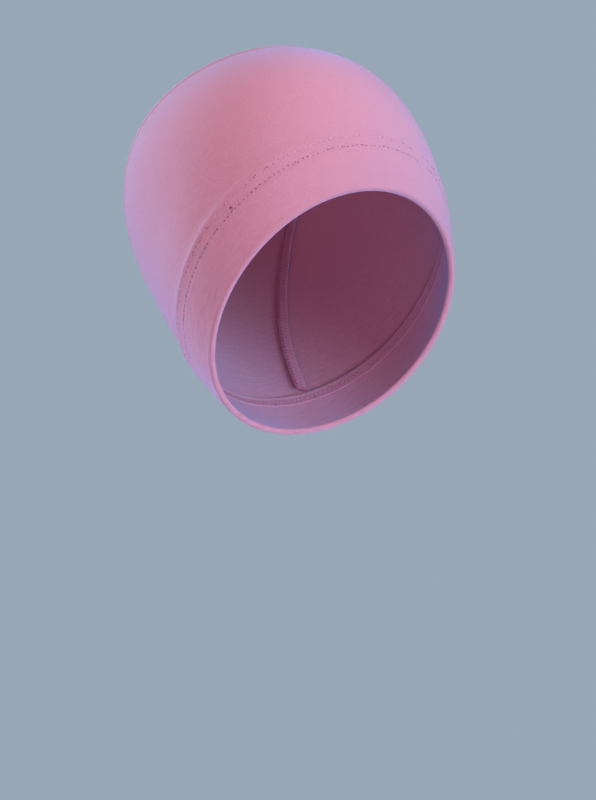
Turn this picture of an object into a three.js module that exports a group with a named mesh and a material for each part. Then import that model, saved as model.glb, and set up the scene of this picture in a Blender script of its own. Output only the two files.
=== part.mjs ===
// Jersey sleep cap, as worn: a front panel and a back panel joined by one horseshoe
// seam, and a deep turned hem round the face and the nape.
// Millimetres, +Z up. The wearer faces -Y, and the wearer's left is +X.
// The origin is where the crown of the head touches the inside of the cap.

import * as THREE from 'three';

// Driving dimensions

const CLOTH = 1.2;            // thickness of the jersey
const GAP = 0.3;              // clearance between neighbouring pieces
const HEM_DEPTH = 25.4;       // rim to the lower needle row
const NEEDLE_GAUGE = 5.6;     // between the two needle rows
const RAW_EDGE = 2;           // cloth left inside, past the upper needle row
const ALLOWANCE_WIDTH = 6;    // overlocked seam allowance, inside the back panel
const ALLOWANCE_DEPTH = 1.8;  // two plies and the overlock thread
const RIDGE_HEIGHT = 0.8;     // the back panel stands proud where it covers the allowance
const RIDGE_WIDTH = 5;

// The cap's outer face is a radius from one centre, for each direction.
// The crown axis leans back from the vertical, at right angles to the rim.
const CROWN_CENTRE = new THREE.Vector3(0, -26.3, -118.1);
const AXIS_LEAN = 49;

// Radius towards the brow, the ears and the nape, in rows that step down from the
// crown axis to the rim. Each row pulls the face towards itself, as a spline does.
const ROW_STEP = 24;
const CROWN_ROWS = [
  { brow: 141, ear: 141, nape: 141 },
  { brow: 128, ear: 126, nape: 120.5 },
  { brow: 116.5, ear: 99, nape: 96 },
  { brow: 108.5, ear: 82.5, nape: 84 },
  { brow: 88, ear: 83, nape: 83 },
  { brow: 79.5, ear: 87, nape: 98.5 },
];

// Angle from the crown axis down to the rim
const RIM_ANGLE = { brow: 123.5, ear: 123, nape: 120 };

// The horseshoe seam, in degrees across and fore of the crown axis: an arch over the
// top of the head, and two straight legs that open slightly down to the hem.
const ARCH_RISE = 52;
const ARCH_HALF_WIDTH = 34;
const LEG_SPREAD = 0.1;       // degrees wider for each degree down

// Facets

const HEM_COLUMNS = 72;
const ARCH_COLUMNS = 30;
const FRONT_COLUMNS = 2 * ARCH_COLUMNS;
const LEG_COLUMNS = 18;       // the same on both panels, so that their edges match
const NAPE_COLUMNS = 8;
const EDGE_INSETS = [0, 2.5, 5, 8, 12];
const BACK_RINGS = 10;
const BACK_MIDDLE = -25;      // on the chart, where the back panel's rings meet
const LEG_START = 0.06;       // of a leg column, so that the corner clears the hem
const ALLOWANCE_START = 1.1;  // leg columns up from the hem, above its turned ply

// Outer face of the cap

const radians = THREE.MathUtils.degToRad;
const axisUp = new THREE.Vector3(0, Math.sin(radians(AXIS_LEAN)), Math.cos(radians(AXIS_LEAN)));
const towardsBrow = new THREE.Vector3(0, -Math.cos(radians(AXIS_LEAN)), Math.sin(radians(AXIS_LEAN)));

// The three columns of a row are kept as a mean, a lean to the front and an ovalness.
const lastRow = CROWN_ROWS.length - 1;
const mean = CROWN_ROWS.map((row) => row.ear);
const lean = CROWN_ROWS.map((row) => (row.brow - row.nape) / 2);
const oval = CROWN_ROWS.map((row) => (row.brow + row.nape) / 2 - row.ear);
lean[0] = 0;
oval[0] = -oval[1] / 2;       // both vanish on the axis, where all directions meet

// Uniform cubic B-spline over a column; beforeFirst mirrors it across the axis.
function along(column, beforeFirst, angle) {
  const place = angle / ROW_STEP;
  const first = Math.floor(place);
  const t = place - first;
  const straight = 2 * column[lastRow] - column[lastRow - 1];
  const further = 2 * straight - column[lastRow];
  const pulls = [beforeFirst, ...column, straight, further].slice(first, first + 4);
  const weights = [
    (1 - t) ** 3,
    3 * t ** 3 - 6 * t ** 2 + 4,
    -3 * t ** 3 + 3 * t ** 2 + 3 * t + 1,
    t ** 3,
  ];
  return pulls.reduce((sum, pull, i) => sum + (pull * weights[i]) / 6, 0);
}

// A chart place is { across, fore }, in degrees from the crown axis.
function onChart(angle, turn) {
  return { across: angle * Math.sin(turn), fore: angle * Math.cos(turn) };
}

function facePoint({ across, fore }) {
  const angle = Math.hypot(across, fore);
  const turn = Math.atan2(across, fore);
  const ahead = Math.cos(turn);
  const radius = along(mean, mean[1], angle)
    + along(lean, -lean[1], angle) * ahead
    + along(oval, oval[1], angle) * ahead ** 2;
  const level = radius * Math.sin(radians(angle));
  return CROWN_CENTRE.clone()
    .addScaledVector(axisUp, radius * Math.cos(radians(angle)))
    .addScaledVector(towardsBrow, level * ahead)
    .add(new THREE.Vector3(level * Math.sin(turn), 0, 0));
}

// Outward normal, from two short steps on the chart
const PROBE = 0.05;
function faceNormal({ across, fore }) {
  const sideways = facePoint({ across: across + PROBE, fore })
    .sub(facePoint({ across: across - PROBE, fore }));
  const forwards = facePoint({ across, fore: fore + PROBE })
    .sub(facePoint({ across, fore: fore - PROBE }));
  return forwards.cross(sideways).normalize();
}

function pointAtDepth(place, depth) {
  return facePoint(place).addScaledVector(faceNormal(place), -depth);
}

// Rim and hem

function rimAngle(turn) {
  const ahead = Math.cos(turn);
  return RIM_ANGLE.ear
    + ((RIM_ANGLE.brow - RIM_ANGLE.nape) / 2) * ahead
    + ((RIM_ANGLE.brow + RIM_ANGLE.nape) / 2 - RIM_ANGLE.ear) * ahead ** 2;
}

// The chart place that lies a given length of cloth above the rim
const MARCH = 0.5;
function aboveRim(turn, length) {
  let angle = rimAngle(turn);
  let here = facePoint(onChart(angle, turn));
  let left = length;
  while (left > 0) {
    const next = facePoint(onChart(angle - MARCH, turn));
    const step = here.distanceTo(next);
    angle -= MARCH * Math.min(1, left / step);
    left -= step;
    here = next;
  }
  return onChart(angle, turn);
}

// Section of the hem: up is the length above the rim, in is the depth below the face.
// The outer ply ends at the lower needle row. The turned ply runs on behind the panels.
const PLIES = 2 * CLOTH + GAP;
const FOLD = PLIES / 2;
const hemTop = HEM_DEPTH - GAP / 2;
const turnedTop = HEM_DEPTH + NEEDLE_GAUGE + RAW_EDGE;
const foldCorner = FOLD * (1 - Math.SQRT1_2);
const HEM_SECTION = [
  { up: hemTop, in: 0 },
  { up: (2 / 3) * hemTop, in: 0 },
  { up: hemTop / 3, in: 0 },
  { up: FOLD, in: 0 },
  { up: foldCorner, in: foldCorner },
  { up: 0, in: FOLD },
  { up: foldCorner, in: PLIES - foldCorner },
  { up: FOLD, in: PLIES },
  { up: hemTop / 3, in: PLIES },
  { up: (2 / 3) * hemTop, in: PLIES },
  { up: HEM_DEPTH, in: PLIES },
  { up: turnedTop, in: PLIES },
  { up: turnedTop, in: CLOTH + GAP },
  { up: hemTop, in: CLOTH + GAP },
];

// The seam: t runs up a leg from the hem, and over the arch from the wearer's right.

const legAcross = (fore) => ARCH_HALF_WIDTH - LEG_SPREAD * fore;
const TURN_STEP = radians(0.1);
const seamTurn = (() => {
  let turn = Math.PI;
  const isInside = () => {
    const place = aboveRim(turn, HEM_DEPTH);
    return place.across < legAcross(place.fore);
  };
  while (isInside()) turn -= TURN_STEP;
  return turn;                // where a leg reaches the hem, from the brow
})();
const legFoot = aboveRim(seamTurn, HEM_DEPTH).fore;

function legPlace(side, t) {
  const fore = legFoot * (1 - t);
  return { across: side * legAcross(fore), fore };
}

function archPlace(t) {
  const swing = Math.PI * t;
  return { across: -ARCH_HALF_WIDTH * Math.cos(swing), fore: ARCH_RISE * Math.sin(swing) };
}

function between(from, to, t) {
  return {
    across: THREE.MathUtils.lerp(from.across, to.across, t),
    fore: THREE.MathUtils.lerp(from.fore, to.fore, t),
  };
}

// A length in millimetres from one place towards another
function inwards(place, goal, length) {
  return between(place, goal, length / facePoint(place).distanceTo(facePoint(goal)));
}

function ridge(inset) {
  return RIDGE_HEIGHT * Math.exp(-((inset / RIDGE_WIDTH) ** 2));
}

// A solid from its points and its facets

function solid(name, positions, triangles, material) {
  const geometry = new THREE.BufferGeometry();
  const flat = positions.flatMap((point) => [point.x, point.y, point.z]);
  geometry.setAttribute('position', new THREE.Float32BufferAttribute(flat, 3));
  geometry.setIndex(triangles);
  geometry.computeVertexNormals();
  const mesh = new THREE.Mesh(geometry, material);
  mesh.name = name;
  return mesh;
}

function quad(a, b, c, d) {
  return [a, b, c, a, c, d];
}

// A ring of sections that closes on itself, such as the hem
function ringSolid(name, sections, material) {
  const count = sections[0].length;
  const triangles = [];
  sections.forEach((section, i) => {
    const next = (i + 1) % sections.length;
    section.forEach((point, j) => {
      const k = (j + 1) % count;
      triangles.push(...quad(i * count + j, i * count + k, next * count + k, next * count + j));
    });
  });
  return solid(name, sections.flat(), triangles, material);
}

// A strip of sections with closed ends, such as the seam allowance
function stripSolid(name, sections, material) {
  const count = sections[0].length;
  const last = (sections.length - 1) * count;
  const triangles = [];
  for (let i = 0; i < sections.length - 1; i += 1) {
    for (let j = 0; j < count; j += 1) {
      const k = (j + 1) % count;
      const row = i * count;
      triangles.push(...quad(row + j, row + k, row + count + k, row + count + j));
    }
  }
  for (let j = 1; j < count - 1; j += 1) {
    triangles.push(0, j + 1, j);
    triangles.push(last, last + j, last + j + 1);
  }
  return solid(name, sections.flat(), triangles, material);
}

// A panel of cloth: two matching sheets of points, and the border that joins them.
// lift is how far each place stands proud of the face.
function panelSolid(name, places, facets, border, lift, material) {
  const outer = places.map((place, i) => pointAtDepth(place, -lift[i]));
  const inner = places.map((place, i) => pointAtDepth(place, CLOTH - lift[i]));
  const count = places.length;
  const triangles = [...facets];
  for (let i = 0; i < facets.length; i += 3) {
    triangles.push(facets[i] + count, facets[i + 2] + count, facets[i + 1] + count);
  }
  border.forEach((a, i) => {
    const b = border[(i + 1) % border.length];
    triangles.push(...quad(b, a, a + count, b + count));
  });
  return solid(name, [...outer, ...inner], triangles, material);
}

// Finish

function jersey(colour) {
  return new THREE.MeshStandardMaterial({ color: colour, roughness: 0.9, metalness: 0 });
}
const pinkJersey = jersey('#d78aa6');
const hemJersey = jersey('#e19bbb');
const overlockThread = jersey('#c67f9c');

// Turned hem

function hemBand() {
  const sections = [];
  for (let i = 0; i < HEM_COLUMNS; i += 1) {
    const turn = (i / HEM_COLUMNS) * 2 * Math.PI;
    sections.push(HEM_SECTION.map((at) => pointAtDepth(aboveRim(turn, at.up), at.in)));
  }
  return ringSolid('hem_band', sections, hemJersey);
}

// Front panel: ruled on the chart from the hem up to the arch, with its two ends on
// the legs of the seam
function frontPanel() {
  const places = [];
  const facets = [];
  const row = LEG_COLUMNS + 1;
  for (let i = 0; i <= FRONT_COLUMNS; i += 1) {
    const t = i / FRONT_COLUMNS;
    const turn = THREE.MathUtils.lerp(-seamTurn, seamTurn, t);
    const foot = aboveRim(turn, HEM_DEPTH + GAP / 2);
    const top = archPlace(t);
    for (let j = 0; j < row; j += 1) places.push(between(foot, top, j / LEG_COLUMNS));
  }
  for (let i = 0; i < FRONT_COLUMNS; i += 1) {
    for (let j = 0; j < LEG_COLUMNS; j += 1) {
      const a = i * row + j;
      facets.push(...quad(a, a + row, a + row + 1, a + 1));
    }
  }
  const border = [];
  for (let i = 0; i < FRONT_COLUMNS; i += 1) border.push(i * row);
  for (let j = 0; j < LEG_COLUMNS; j += 1) border.push(FRONT_COLUMNS * row + j);
  for (let i = FRONT_COLUMNS; i > 0; i -= 1) border.push(i * row + LEG_COLUMNS);
  for (let j = LEG_COLUMNS; j > 0; j -= 1) border.push(j);
  return panelSolid('front_panel', places, facets, border, places.map(() => 0), pinkJersey);
}

// The seam from the wearer's right over the arch to the left, from a leg column on
function seamPlaces(start) {
  const legs = [start];
  for (let i = Math.floor(start) + 1; i < LEG_COLUMNS; i += 1) legs.push(i);
  const right = legs.map((i) => legPlace(-1, i / LEG_COLUMNS));
  const left = legs.map((i) => legPlace(1, i / LEG_COLUMNS)).reverse();
  const arch = [];
  for (let i = 0; i <= ARCH_COLUMNS; i += 1) arch.push(archPlace(i / ARCH_COLUMNS));
  return [...right, ...arch, ...left];
}

// A place beside the seam, square to it, by a length in millimetres
function besideSeam(place, length) {
  return inwards(place, { across: 0, fore: Math.min(place.fore, 0) }, length);
}

// Back panel: rings that shrink from the seam and the hem to a middle place. Its edge
// along the seam stands proud, because it covers the allowance.
function backPanel() {
  const middle = { across: 0, fore: BACK_MIDDLE };
  const seam = seamPlaces(LEG_START).map((place) => besideSeam(place, GAP));
  const nape = [];
  for (let i = 1; i < NAPE_COLUMNS; i += 1) {
    const turn = THREE.MathUtils.lerp(seamTurn, 2 * Math.PI - seamTurn, i / NAPE_COLUMNS);
    nape.push(aboveRim(turn, HEM_DEPTH + GAP / 2));
  }
  const edge = [...seam, ...nape];
  const places = [];
  const lift = [];
  edge.forEach((place, i) => {
    const height = i < seam.length ? 1 : 0;
    EDGE_INSETS.forEach((inset) => {
      places.push(inwards(place, middle, inset));
      lift.push(height * ridge(inset));
    });
    const innermost = places[places.length - 1];
    for (let j = 1; j < BACK_RINGS; j += 1) {
      places.push(between(innermost, middle, j / BACK_RINGS));
      lift.push(0);
    }
  });
  const rings = EDGE_INSETS.length + BACK_RINGS - 1;
  const hub = places.push(middle) - 1;
  lift.push(0);
  const facets = [];
  edge.forEach((_, i) => {
    const here = i * rings;
    const next = ((i + 1) % edge.length) * rings;
    for (let j = 0; j < rings - 1; j += 1) {
      facets.push(...quad(here + j, next + j, next + j + 1, here + j + 1));
    }
    facets.push(here + rings - 1, next + rings - 1, hub);
  });
  const border = edge.map((_, i) => i * rings);
  return panelSolid('back_panel', places, facets, border, lift, pinkJersey);
}

// Seam allowance: both plies, overlocked together and turned back under the back panel.
// It starts above the turned ply of the hem.
function seamAllowance() {
  const sections = seamPlaces(ALLOWANCE_START).map((place) => {
    const [near, far] = [2 * GAP, ALLOWANCE_WIDTH].map((inset) => ({
      place: besideSeam(place, inset),
      top: CLOTH + 3 * GAP - ridge(inset),
    }));
    return [
      pointAtDepth(near.place, near.top),
      pointAtDepth(near.place, near.top + ALLOWANCE_DEPTH),
      pointAtDepth(far.place, far.top + ALLOWANCE_DEPTH),
      pointAtDepth(far.place, far.top),
    ];
  });
  return stripSolid('seam_allowance', sections, overlockThread);
}

const cap = new THREE.Group();
cap.add(hemBand(), frontPanel(), backPanel(), seamAllowance());

export default cap;
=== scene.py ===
"""Looks of a jersey sleep cap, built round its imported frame.

Metres, +Z up. The wearer faces -Y, and the wearer's left is +X. The origin is the top of the
cap's inner side.
"""
import math

import bpy
import numpy as np
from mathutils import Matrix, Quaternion, Vector
from mathutils.kdtree import KDTree


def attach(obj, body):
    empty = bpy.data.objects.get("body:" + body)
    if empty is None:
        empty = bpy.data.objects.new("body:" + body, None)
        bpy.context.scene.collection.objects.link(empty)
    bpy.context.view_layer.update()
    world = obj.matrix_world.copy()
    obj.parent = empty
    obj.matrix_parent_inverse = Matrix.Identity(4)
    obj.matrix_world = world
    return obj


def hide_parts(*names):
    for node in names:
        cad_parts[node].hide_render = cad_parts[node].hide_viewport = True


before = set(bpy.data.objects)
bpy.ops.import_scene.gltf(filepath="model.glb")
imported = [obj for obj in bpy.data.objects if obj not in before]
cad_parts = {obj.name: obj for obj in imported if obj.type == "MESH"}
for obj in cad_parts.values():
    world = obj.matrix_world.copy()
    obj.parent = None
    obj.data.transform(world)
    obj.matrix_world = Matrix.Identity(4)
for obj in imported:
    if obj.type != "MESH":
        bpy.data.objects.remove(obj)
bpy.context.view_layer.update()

MM = 0.001


# The photograph's view
# A long lens a little below the cap, from ahead of the wearer's right ear. The cap sits
# high in the frame, so the camera looks below it.

FRAME_PIXELS = (596, 800)
LOOK_POINT = Vector((0, -27.4 * MM, -115.8 * MM))
LOOK_PIXEL = (302.35, 250.45)       # where the look point falls in the photograph
FOCAL_PIXELS = 2461
CAMERA_DISTANCE = 1350 * MM
CAMERA_AZIMUTH = math.radians(-39.1)
CAMERA_ELEVATION = math.radians(-12.4)
SENSOR = 36                         # long side, in millimetres of film


def direction(azimuth, elevation):
    """From the cap towards a place round it; azimuth 0 is ahead of the wearer."""
    level = math.cos(elevation)
    return Vector((math.sin(azimuth) * level, -math.cos(azimuth) * level, math.sin(elevation)))


def put(name, data):
    """Adds an object to the scene."""
    thing = bpy.data.objects.new(name, data)
    bpy.context.scene.collection.objects.link(thing)
    return thing


camera_data = bpy.data.cameras.new("camera")
camera_data.sensor_width = SENSOR
camera_data.lens = SENSOR * FOCAL_PIXELS / max(FRAME_PIXELS)
camera_data.clip_start = 10 * MM
camera_data.clip_end = 100
camera = put("camera", camera_data)
bpy.context.scene.camera = camera
to_camera = direction(CAMERA_AZIMUTH, CAMERA_ELEVATION)
tilt = math.atan((FRAME_PIXELS[1] / 2 - LOOK_PIXEL[1]) / FOCAL_PIXELS)
pan = math.atan((LOOK_PIXEL[0] - FRAME_PIXELS[0] / 2) / FOCAL_PIXELS)
camera.location = LOOK_POINT + to_camera * CAMERA_DISTANCE
camera.rotation_mode = "QUATERNION"
camera.rotation_quaternion = (
    Quaternion((0, 0, 1), pan)
    @ (-to_camera).to_track_quat("-Z", "Y")
    @ Quaternion((1, 0, 0), -tilt)
)


# Front panel
# One piece of cotton jersey over the forehead, the temples and the ears, cut flat and
# stretched smooth as it is worn. Its lower edge runs on into the hem at the first needle
# row, and its top and sides are sewn to the back panel.

CLOTH = 1.2 * MM
CROWN_CENTRE = np.array((0, -26.3, -118.1)) * MM
AXIS_LEAN = math.radians(49)        # the crown axis leans back, square to the rim
AXIS_UP = np.array((0, math.sin(AXIS_LEAN), math.cos(AXIS_LEAN)))
TOWARDS_BROW = np.array((0, -math.cos(AXIS_LEAN), math.sin(AXIS_LEAN)))
TOWARDS_LEFT = np.array((1, 0, 0))
ROW_STEP = 24                       # degrees between the rows below, from the axis down
CROWN_ROWS = {                      # the pull of each row on the radius, in millimetres
    "brow": (141, 128, 116.5, 108.5, 88, 79.5),
    "ear": (141, 126, 99, 82.5, 83, 87),
    "nape": (141, 120.5, 96, 84, 83, 98.5),
}
RIM_ANGLE = {"brow": 123.5, "ear": 123, "nape": 120}

brow, ear, nape = (np.array(CROWN_ROWS[side]) * MM for side in ("brow", "ear", "nape"))
mean = ear
lean = (brow - nape) / 2
oval = (brow + nape) / 2 - ear
lean[0] = 0
oval[0] = -oval[1] / 2              # both vanish on the axis


def along(column, before_first, angle):
    """A uniform cubic B-spline over one column of the crown's rows."""
    straight = 2 * column[-1] - column[-2]
    pulls = np.concatenate(([before_first], column, [straight, 2 * straight - column[-1]]))
    place = angle / ROW_STEP
    first = np.floor(place).astype(int)
    t = place - first
    weights = ((1 - t) ** 3, 3 * t**3 - 6 * t**2 + 4, -3 * t**3 + 3 * t**2 + 3 * t + 1, t**3)
    return sum(weight * pulls[first + i] for i, weight in enumerate(weights)) / 6


def face_point(across, fore):
    """The cap's outer face at a chart place, given in degrees from the crown axis."""
    angle = np.hypot(across, fore)
    turn = np.arctan2(across, fore)
    ahead = np.cos(turn)
    radius = (
        along(mean, mean[1], angle)
        + along(lean, -lean[1], angle) * ahead
        + along(oval, oval[1], angle) * ahead**2
    )
    level = radius * np.sin(np.radians(angle))
    return (
        CROWN_CENTRE
        + (radius * np.cos(np.radians(angle)))[..., None] * AXIS_UP
        + (level * ahead)[..., None] * TOWARDS_BROW
        + (level * np.sin(turn))[..., None] * TOWARDS_LEFT
    )


NORMAL_STEP = 0.05                  # degrees


def face_normal(across, fore, probe=NORMAL_STEP):
    """Outwards, from two short steps on the chart."""
    sideways = face_point(across + probe, fore) - face_point(across - probe, fore)
    forwards = face_point(across, fore + probe) - face_point(across, fore - probe)
    normal = np.cross(forwards, sideways)
    return normal / np.linalg.norm(normal, axis=-1, keepdims=True)


def rim_angle(turn):
    """Degrees from the crown axis down to the rim."""
    ahead = np.cos(turn)
    lean_of_rim = (RIM_ANGLE["brow"] - RIM_ANGLE["nape"]) / 2
    oval_of_rim = (RIM_ANGLE["brow"] + RIM_ANGLE["nape"]) / 2 - RIM_ANGLE["ear"]
    return RIM_ANGLE["ear"] + lean_of_rim * ahead + oval_of_rim * ahead**2


def on_chart(angle, turn):
    return angle * np.sin(turn), angle * np.cos(turn)


def lengths_up(turn):
    """Length of cloth from the rim up each meridian, for every step of STEPS_UP."""
    points = face_point(*on_chart(rim_angle(turn)[:, None] - STEPS_UP, turn[:, None]))
    steps = np.linalg.norm(np.diff(points, axis=1), axis=2)
    return np.concatenate([np.zeros((len(turn), 1)), np.cumsum(steps, axis=1)], axis=1)


def above_rim(turn, up):
    """Chart places a length above the rim: one meridian for each turn, in radians."""
    angles = [
        rim - np.interp(up, lengths, STEPS_UP)
        for rim, lengths in zip(rim_angle(turn), lengths_up(turn))
    ]
    return on_chart(np.array(angles), turn[:, None])


STEPS_UP = np.arange(0, 125, 0.5)   # degrees, past the crown axis
TURNS = np.linspace(-math.pi, math.pi, 1441)
LENGTHS_UP = lengths_up(TURNS)
CROWN_LENGTHS = np.array([
    np.interp(rim, STEPS_UP, lengths) for rim, lengths in zip(rim_angle(TURNS), LENGTHS_UP)
])


def length_above_rim(across, fore):
    """The length of cloth between a chart place and the rim, read off LENGTHS_UP."""
    turn = np.arctan2(across, fore)
    column = (turn + math.pi) / (TURNS[1] - TURNS[0])
    row = (rim_angle(turn) - np.hypot(across, fore)) / (STEPS_UP[1] - STEPS_UP[0])
    i = np.clip(np.floor(column).astype(int), 0, len(TURNS) - 2)
    j = np.clip(np.floor(row).astype(int), 0, len(STEPS_UP) - 2)
    s = column - i
    t = np.clip(row - j, 0, 1)
    low = LENGTHS_UP[i, j] * (1 - s) + LENGTHS_UP[i + 1, j] * s
    high = LENGTHS_UP[i, j + 1] * (1 - s) + LENGTHS_UP[i + 1, j + 1] * s
    return low * (1 - t) + high * t


# The hem's two needle rows, and the place along them for each turn
HEM_DEPTH = 25.4 * MM
NEEDLE_GAUGE = 5.6 * MM
NEEDLE_ROWS = (HEM_DEPTH, HEM_DEPTH + NEEDLE_GAUGE)
RAW_EDGE_UP = HEM_DEPTH + NEEDLE_GAUGE + 2 * MM
STITCH_LENGTH = 2.93 * MM

row_points = face_point(*(line[:, 0] for line in above_rim(TURNS, [HEM_DEPTH])))
row_steps = np.linalg.norm(np.diff(row_points, axis=0), axis=1)
ROW_ARC = np.concatenate([[0], np.cumsum(row_steps)])
ROW_LENGTH = ROW_ARC[-1]
STITCHES = round(ROW_LENGTH / STITCH_LENGTH)


def stitches_to(turn):
    """How many stitches the needle rows have made from the nape to a turn."""
    return np.interp(turn, TURNS, ROW_ARC) / ROW_LENGTH * STITCHES


# The horseshoe seam: an arch over the crown and two legs down to the hem,
# which run on through the hem to the rim
ARCH_RISE = 52                      # degrees
ARCH_HALF_WIDTH = 34
LEG_SPREAD = 0.1                    # degrees wider for each degree down


def leg_across(fore):
    return ARCH_HALF_WIDTH - LEG_SPREAD * fore


def arch_place(t):
    swing = math.pi * t
    return -ARCH_HALF_WIDTH * np.cos(swing), ARCH_RISE * np.sin(swing)


hem_across, hem_fore = (line[:, 0] for line in above_rim(TURNS, [HEM_DEPTH]))
between_legs = (hem_across < leg_across(hem_fore)) & (TURNS > math.pi / 2)
SEAM_TURN = TURNS[between_legs][0]
LEG_FOOT = hem_fore[between_legs][0]


def leg_place(side, t):
    fore = LEG_FOOT * (1 - t)
    return side * leg_across(fore), fore


def seam_places(legs, arch, start=0.0):
    """The seam from the wearer's right over the arch to the left, in chart places."""
    climb = np.linspace(start, 1, legs, endpoint=False)
    right = leg_place(-1, climb)
    left = leg_place(1, climb[::-1])
    over = arch_place(np.linspace(0, 1, arch))
    return tuple(np.concatenate(part) for part in zip(right, over, left))


SEAM_SAMPLES = (400, 500)           # on each leg and on the arch
HEM_SAMPLE = 0.4 * MM


def seam_through_hem(side):
    up = np.arange(0, HEM_DEPTH, HEM_SAMPLE)
    return tuple(line[0] for line in above_rim(np.array([side * SEAM_TURN]), up))


seam_tree_points = np.concatenate([
    face_point(*seam_places(*SEAM_SAMPLES)),
    face_point(*seam_through_hem(-1)),
    face_point(*seam_through_hem(1)),
])
seam_tree = KDTree(len(seam_tree_points))
for index, point in enumerate(seam_tree_points):
    seam_tree.insert(point, index)
seam_tree.balance()


def seam_distance(points):
    return np.array([seam_tree.find(point)[2] for point in points])


# Relief of the cloth's right side, in metres from the face
HEM_STEP = 0.45 * MM                # the turned ply lifts the outer one
HEM_STEP_RUN = {"brow": 8 * MM, "ear": 2.4 * MM}    # until it lies flat past the raw edge
CREST_HEIGHT = {"brow": 0.04 * MM, "ear": 0.75 * MM}  # the raw edge stands up behind it
CREST_UP = RAW_EDGE_UP + 0.3 * MM
CREST_WIDTH = 3.6 * MM
CREST_TURNS = {"brow": math.radians(30), "ear": math.radians(95)}
ROW_DEPTHS = (0.2 * MM, 0.14 * MM)  # the thread pulls each row in
ROW_WIDTH = 0.8 * MM
SEAM_DEPTH = 0.22 * MM              # both panels turn in at their seam
SEAM_WIDTH = 1.1 * MM
SEAM_SHADE = 0.3                    # painted shade in the seam's groove, for each millimetre that the seam turns in
LIP_HEIGHT = 0.6 * MM               # the allowance lifts the back panel beside it
LIP_PLACE = 3.6 * MM
LIP_WIDTH = 4.6 * MM
LEG_LIP = 0.15                      # less down the legs, where the cloth is stretched flat
LEG_LIP_UP = 70 * MM
ARCH_LIP_UP = 120 * MM
SEAM_END = 1.5 * MM                 # up from the rim, where the seam rolls into the fold
SEAM_END_RUN = 6 * MM


def bump(distance, width):
    return np.exp(-((distance / width) ** 2))


def smooth_step(t):
    t = np.clip(t, 0, 1)
    return t * t * (3 - 2 * t)


def seam_strength(up):
    """How much of the seam's relief there is, so far above the rim."""
    climbed = smooth_step((up - LEG_LIP_UP) / (ARCH_LIP_UP - LEG_LIP_UP))
    return (LEG_LIP + (1 - LEG_LIP) * climbed) * smooth_step((up - SEAM_END) / SEAM_END_RUN)


def lip(from_seam, up):
    rise = bump(from_seam - LIP_PLACE, LIP_WIDTH) * (1 - bump(from_seam, SEAM_WIDTH))
    return LIP_HEIGHT * rise * seam_strength(up)


def relief(across, fore, points, at_back):
    """The right side's height over the face, the part of it that the inner side shares,
    and the painted shade that darkens the seam's groove."""
    up = length_above_rim(across, fore)
    aside = np.abs(np.arctan2(across, fore)) - CREST_TURNS["brow"]
    aside = smooth_step(aside / (CREST_TURNS["ear"] - CREST_TURNS["brow"]))
    crest, run = (
        side["brow"] + (side["ear"] - side["brow"]) * aside for side in (CREST_HEIGHT, HEM_STEP_RUN)
    )
    broad = HEM_STEP * (1 - smooth_step((up - RAW_EDGE_UP) / run))
    broad += crest * bump(up - CREST_UP, CREST_WIDTH)
    rows = sum(depth * bump(up - row, ROW_WIDTH) for row, depth in zip(NEEDLE_ROWS, ROW_DEPTHS))
    from_seam = seam_distance(points)
    broad += np.where(at_back, lip(from_seam, up), 0)
    turned_in = SEAM_DEPTH * seam_strength(up) * bump(from_seam, SEAM_WIDTH)
    return broad - turned_in - rows, broad, turned_in / MM * SEAM_SHADE


# The knit's own coordinates on the cloth, in metres: u across its wales and v along them.
# The front panel is cut like a horseshoe, so its wales turn less than its rim does: they
# run up the forehead, and nearly along the hem behind the ears.
GRAIN_TURN = 0.6
BACK_STRETCH = 1.15


def knit_front(turn, up):
    from_crown = np.interp(turn, TURNS, CROWN_LENGTHS) - up
    grain = GRAIN_TURN * turn
    return np.stack([from_crown * np.sin(grain), from_crown * np.cos(grain)], axis=-1)


def knit_back(turn, up, points):
    from_crown = np.interp(turn, TURNS, CROWN_LENGTHS) - up
    return np.stack([BACK_STRETCH * points[:, 0], from_crown * np.cos(turn)], axis=-1)


def corner_stitches(turn, up, faces):
    """At each corner of each face, how many stitches round it is and how far up. A face
    that straddles the nape counts on past the last stitch."""
    corners = np.concatenate(faces)
    first = np.repeat([face[0] for face in faces], [len(face) for face in faces])
    stitch = stitches_to(turn)
    laps = np.round((stitch[corners] - stitch[first]) / STITCHES)
    return np.stack([stitch[corners] - laps * STITCHES, up[corners]], axis=1)


def linear(code):
    """An sRGB hex colour as linear red, green, blue and a full alpha."""
    parts = [int(code[i : i + 2], 16) / 255 for i in (1, 3, 5)]
    return tuple(c / 12.92 if c <= 0.04045 else ((c + 0.055) / 1.055) ** 2.4 for c in parts) + (1,)


def add_node(tree, kind, settings=None, inputs=None):
    """Adds a node, with its settings and with a value or a link for each input."""
    node = tree.nodes.new(kind)
    for name, value in (settings or {}).items():
        setattr(node, name, value)
    for name, value in (inputs or {}).items():
        if isinstance(value, bpy.types.NodeSocket):
            tree.links.new(value, node.inputs[name])
        else:
            node.inputs[name].default_value = value
    return node


def blank_material(name):
    """A new material, and its node tree with nothing in it."""
    material = bpy.data.materials.new(name)
    material.use_nodes = True
    material.node_tree.nodes.clear()
    return material, material.node_tree


def finish_material(tree, settings):
    """Ends a material's tree in one shader."""
    shader = add_node(tree, "ShaderNodeBsdfPrincipled", None, settings)
    add_node(tree, "ShaderNodeOutputMaterial", None, {"Surface": shader.outputs[0]})


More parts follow.
